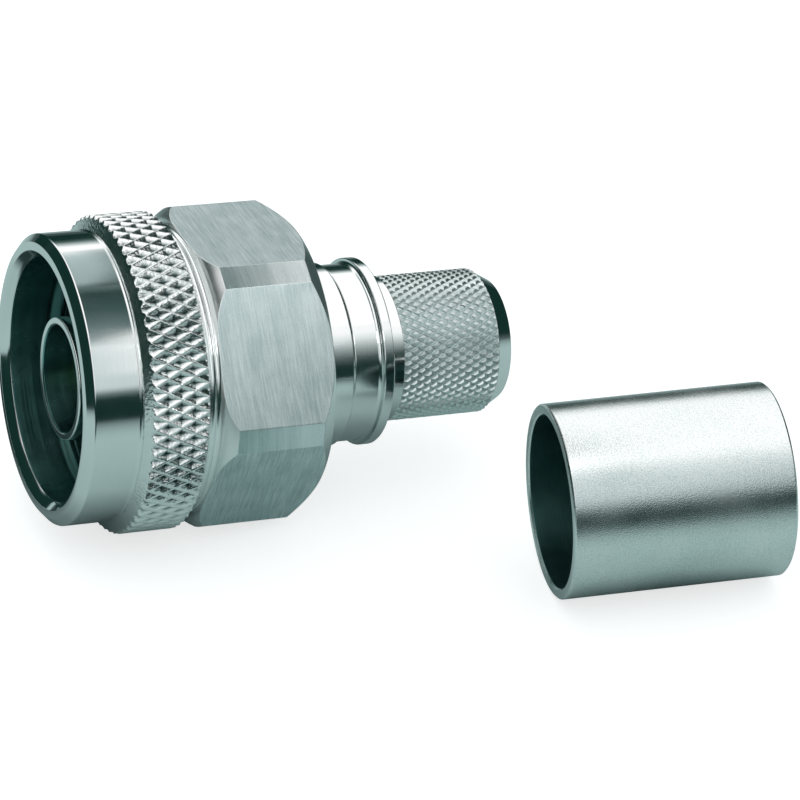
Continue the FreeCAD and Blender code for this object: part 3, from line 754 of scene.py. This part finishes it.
DEEP, DIM, PALE = (0.022, 0.048, 0.045), (0.12, 0.17, 0.165), (0.57, 0.65, 0.65)
card("dark_flag", [(14, -54, 60), (30, -54, 60), (31, -34, 60), (40, -22, 60), (40, 8, 60), (14, 8, 60)],
     (0, 1, 0), [(-54, PALE), (-44, (0.24, 0.30, 0.30)), (-30, (0.12, 0.17, 0.17)),
                 (-14, (0.04, 0.08, 0.075)), (1, DEEP), (8, DIM)], [(14, 19), (40, 34)])
card("grey_flag_left", [(14, 8, 60), (25, 8, 60), (38.5, 80, 60), (14, 80, 60)], (0, 1, 0),
     [(8, DIM), (13, (0.34, 0.42, 0.42)), (44, (0.42, 0.51, 0.51)), (58, (0.50, 0.60, 0.60)), (80, WHITE)],
     [(14, 19)])
card("grey_flag_right", [(25, 8, 60), (36, 8, 60), (50, 80, 60), (38.5, 80, 60)], (0, 1, 0),
     [(8, DEEP), (13, (0.12, 0.17, 0.165)), (26, (0.17, 0.24, 0.24)), (50, (0.17, 0.24, 0.24)),
      (70, (0.35, 0.42, 0.42)), (80, PALE)])
front_card("pale_front_card", (-20, -20), (49, 87),
           [(FLOOR, SHADOW), (18, SHADOW), (25, (0.10, 0.15, 0.145)), (34, PALE), (120, PALE),
            (190, WHITE)])
card("bright_strip", [(43.4, -109, 48), (49.4, -109, 48), (73.7, -109, 130), (67.7, -109, 130)], (0, 0, 1),
     [(48, PALE), (62, (0.90, 0.93, 0.93)), (130, (0.90, 0.93, 0.93))])
front_card("neck_front_card", (49, 87), (300, 300),
           [(FLOOR, SHADOW), (16, SHADOW), (35, (0.05, 0.075, 0.072)), (63, (0.31, 0.36, 0.355)),
            (100, (0.75, 0.80, 0.80)), (130, WHITE), (190, WHITE)])
card("key_card", [(18, -30, 20), (30, -30, 20), (30, -30, 31), (18, -30, 31)], (0, 0, 1),
     [(20, WHITE), (31, WHITE)], strength=3.0)

world = bpy.data.worlds.new("studio")
world.use_nodes = True
bpy.context.scene.world = world
sky = Nodes(world.node_tree)
sky.tree.nodes.clear()
ambient = sky.node("Background", {"Color": (0.96, 1.0, 1.0, 1), "Strength": 0.85})
white = sky.node("Background", {"Color": (1, 1, 1, 1), "Strength": 1.0})
mix = sky.node("MixShader", {0: background_share(sky), 1: ambient.outputs[0], 2: white.outputs[0]})
sky.node("OutputWorld", {"Surface": mix.outputs[0]})

softbox = bpy.data.lights.new("overhead_softbox", "AREA")
softbox.shape, softbox.size, softbox.size_y, softbox.energy = "RECTANGLE", 0.5, 0.4, 0.10
lamp = bpy.data.objects.new("overhead_softbox", softbox)
lamp.location = (0.05, -0.05, 0.55)
lamp.rotation_euler = (Vector((0.02, -0.01, 0.0)) - lamp.location).to_track_quat("-Z", "Y").to_euler()
bpy.context.scene.collection.objects.link(lamp)

# camera, fitted to the photograph: focal length and picture in pixels, angles in degrees, place in mm
FOCAL, PICTURE, SENSOR = 4027.41, 800.0, 36.0
CAMERA_ANGLES, CAMERA_SPOT = (-22.795, 29.958, 0.839), (-67.317, -217.091, 129.178)
camera_data = bpy.data.cameras.new("camera")
camera_data.sensor_width = SENSOR
camera_data.lens = FOCAL * SENSOR / PICTURE
camera_data.clip_start, camera_data.clip_end = 0.01, 20.0
camera = bpy.data.objects.new("camera", camera_data)
bpy.context.scene.collection.objects.link(camera)
azimuth, height, roll = (math.radians(angle) for angle in CAMERA_ANGLES)
right = Vector((math.cos(azimuth), math.sin(azimuth), 0.0))
level_back = Vector((math.sin(azimuth), -math.cos(azimuth), 0.0))
back = math.cos(height) * level_back + math.sin(height) * Vector((0.0, 0.0, 1.0))
upward = back.cross(right)
level = math.cos(roll) * right + math.sin(roll) * upward
upright = -math.sin(roll) * right + math.cos(roll) * upward
turn = Matrix((level, upright, back)).transposed().to_4x4()
camera.matrix_world = Matrix.Translation(Vector(CAMERA_SPOT) * MM) @ turn
bpy.context.scene.camera = camera
bpy.context.scene.view_settings.view_transform = "Standard"
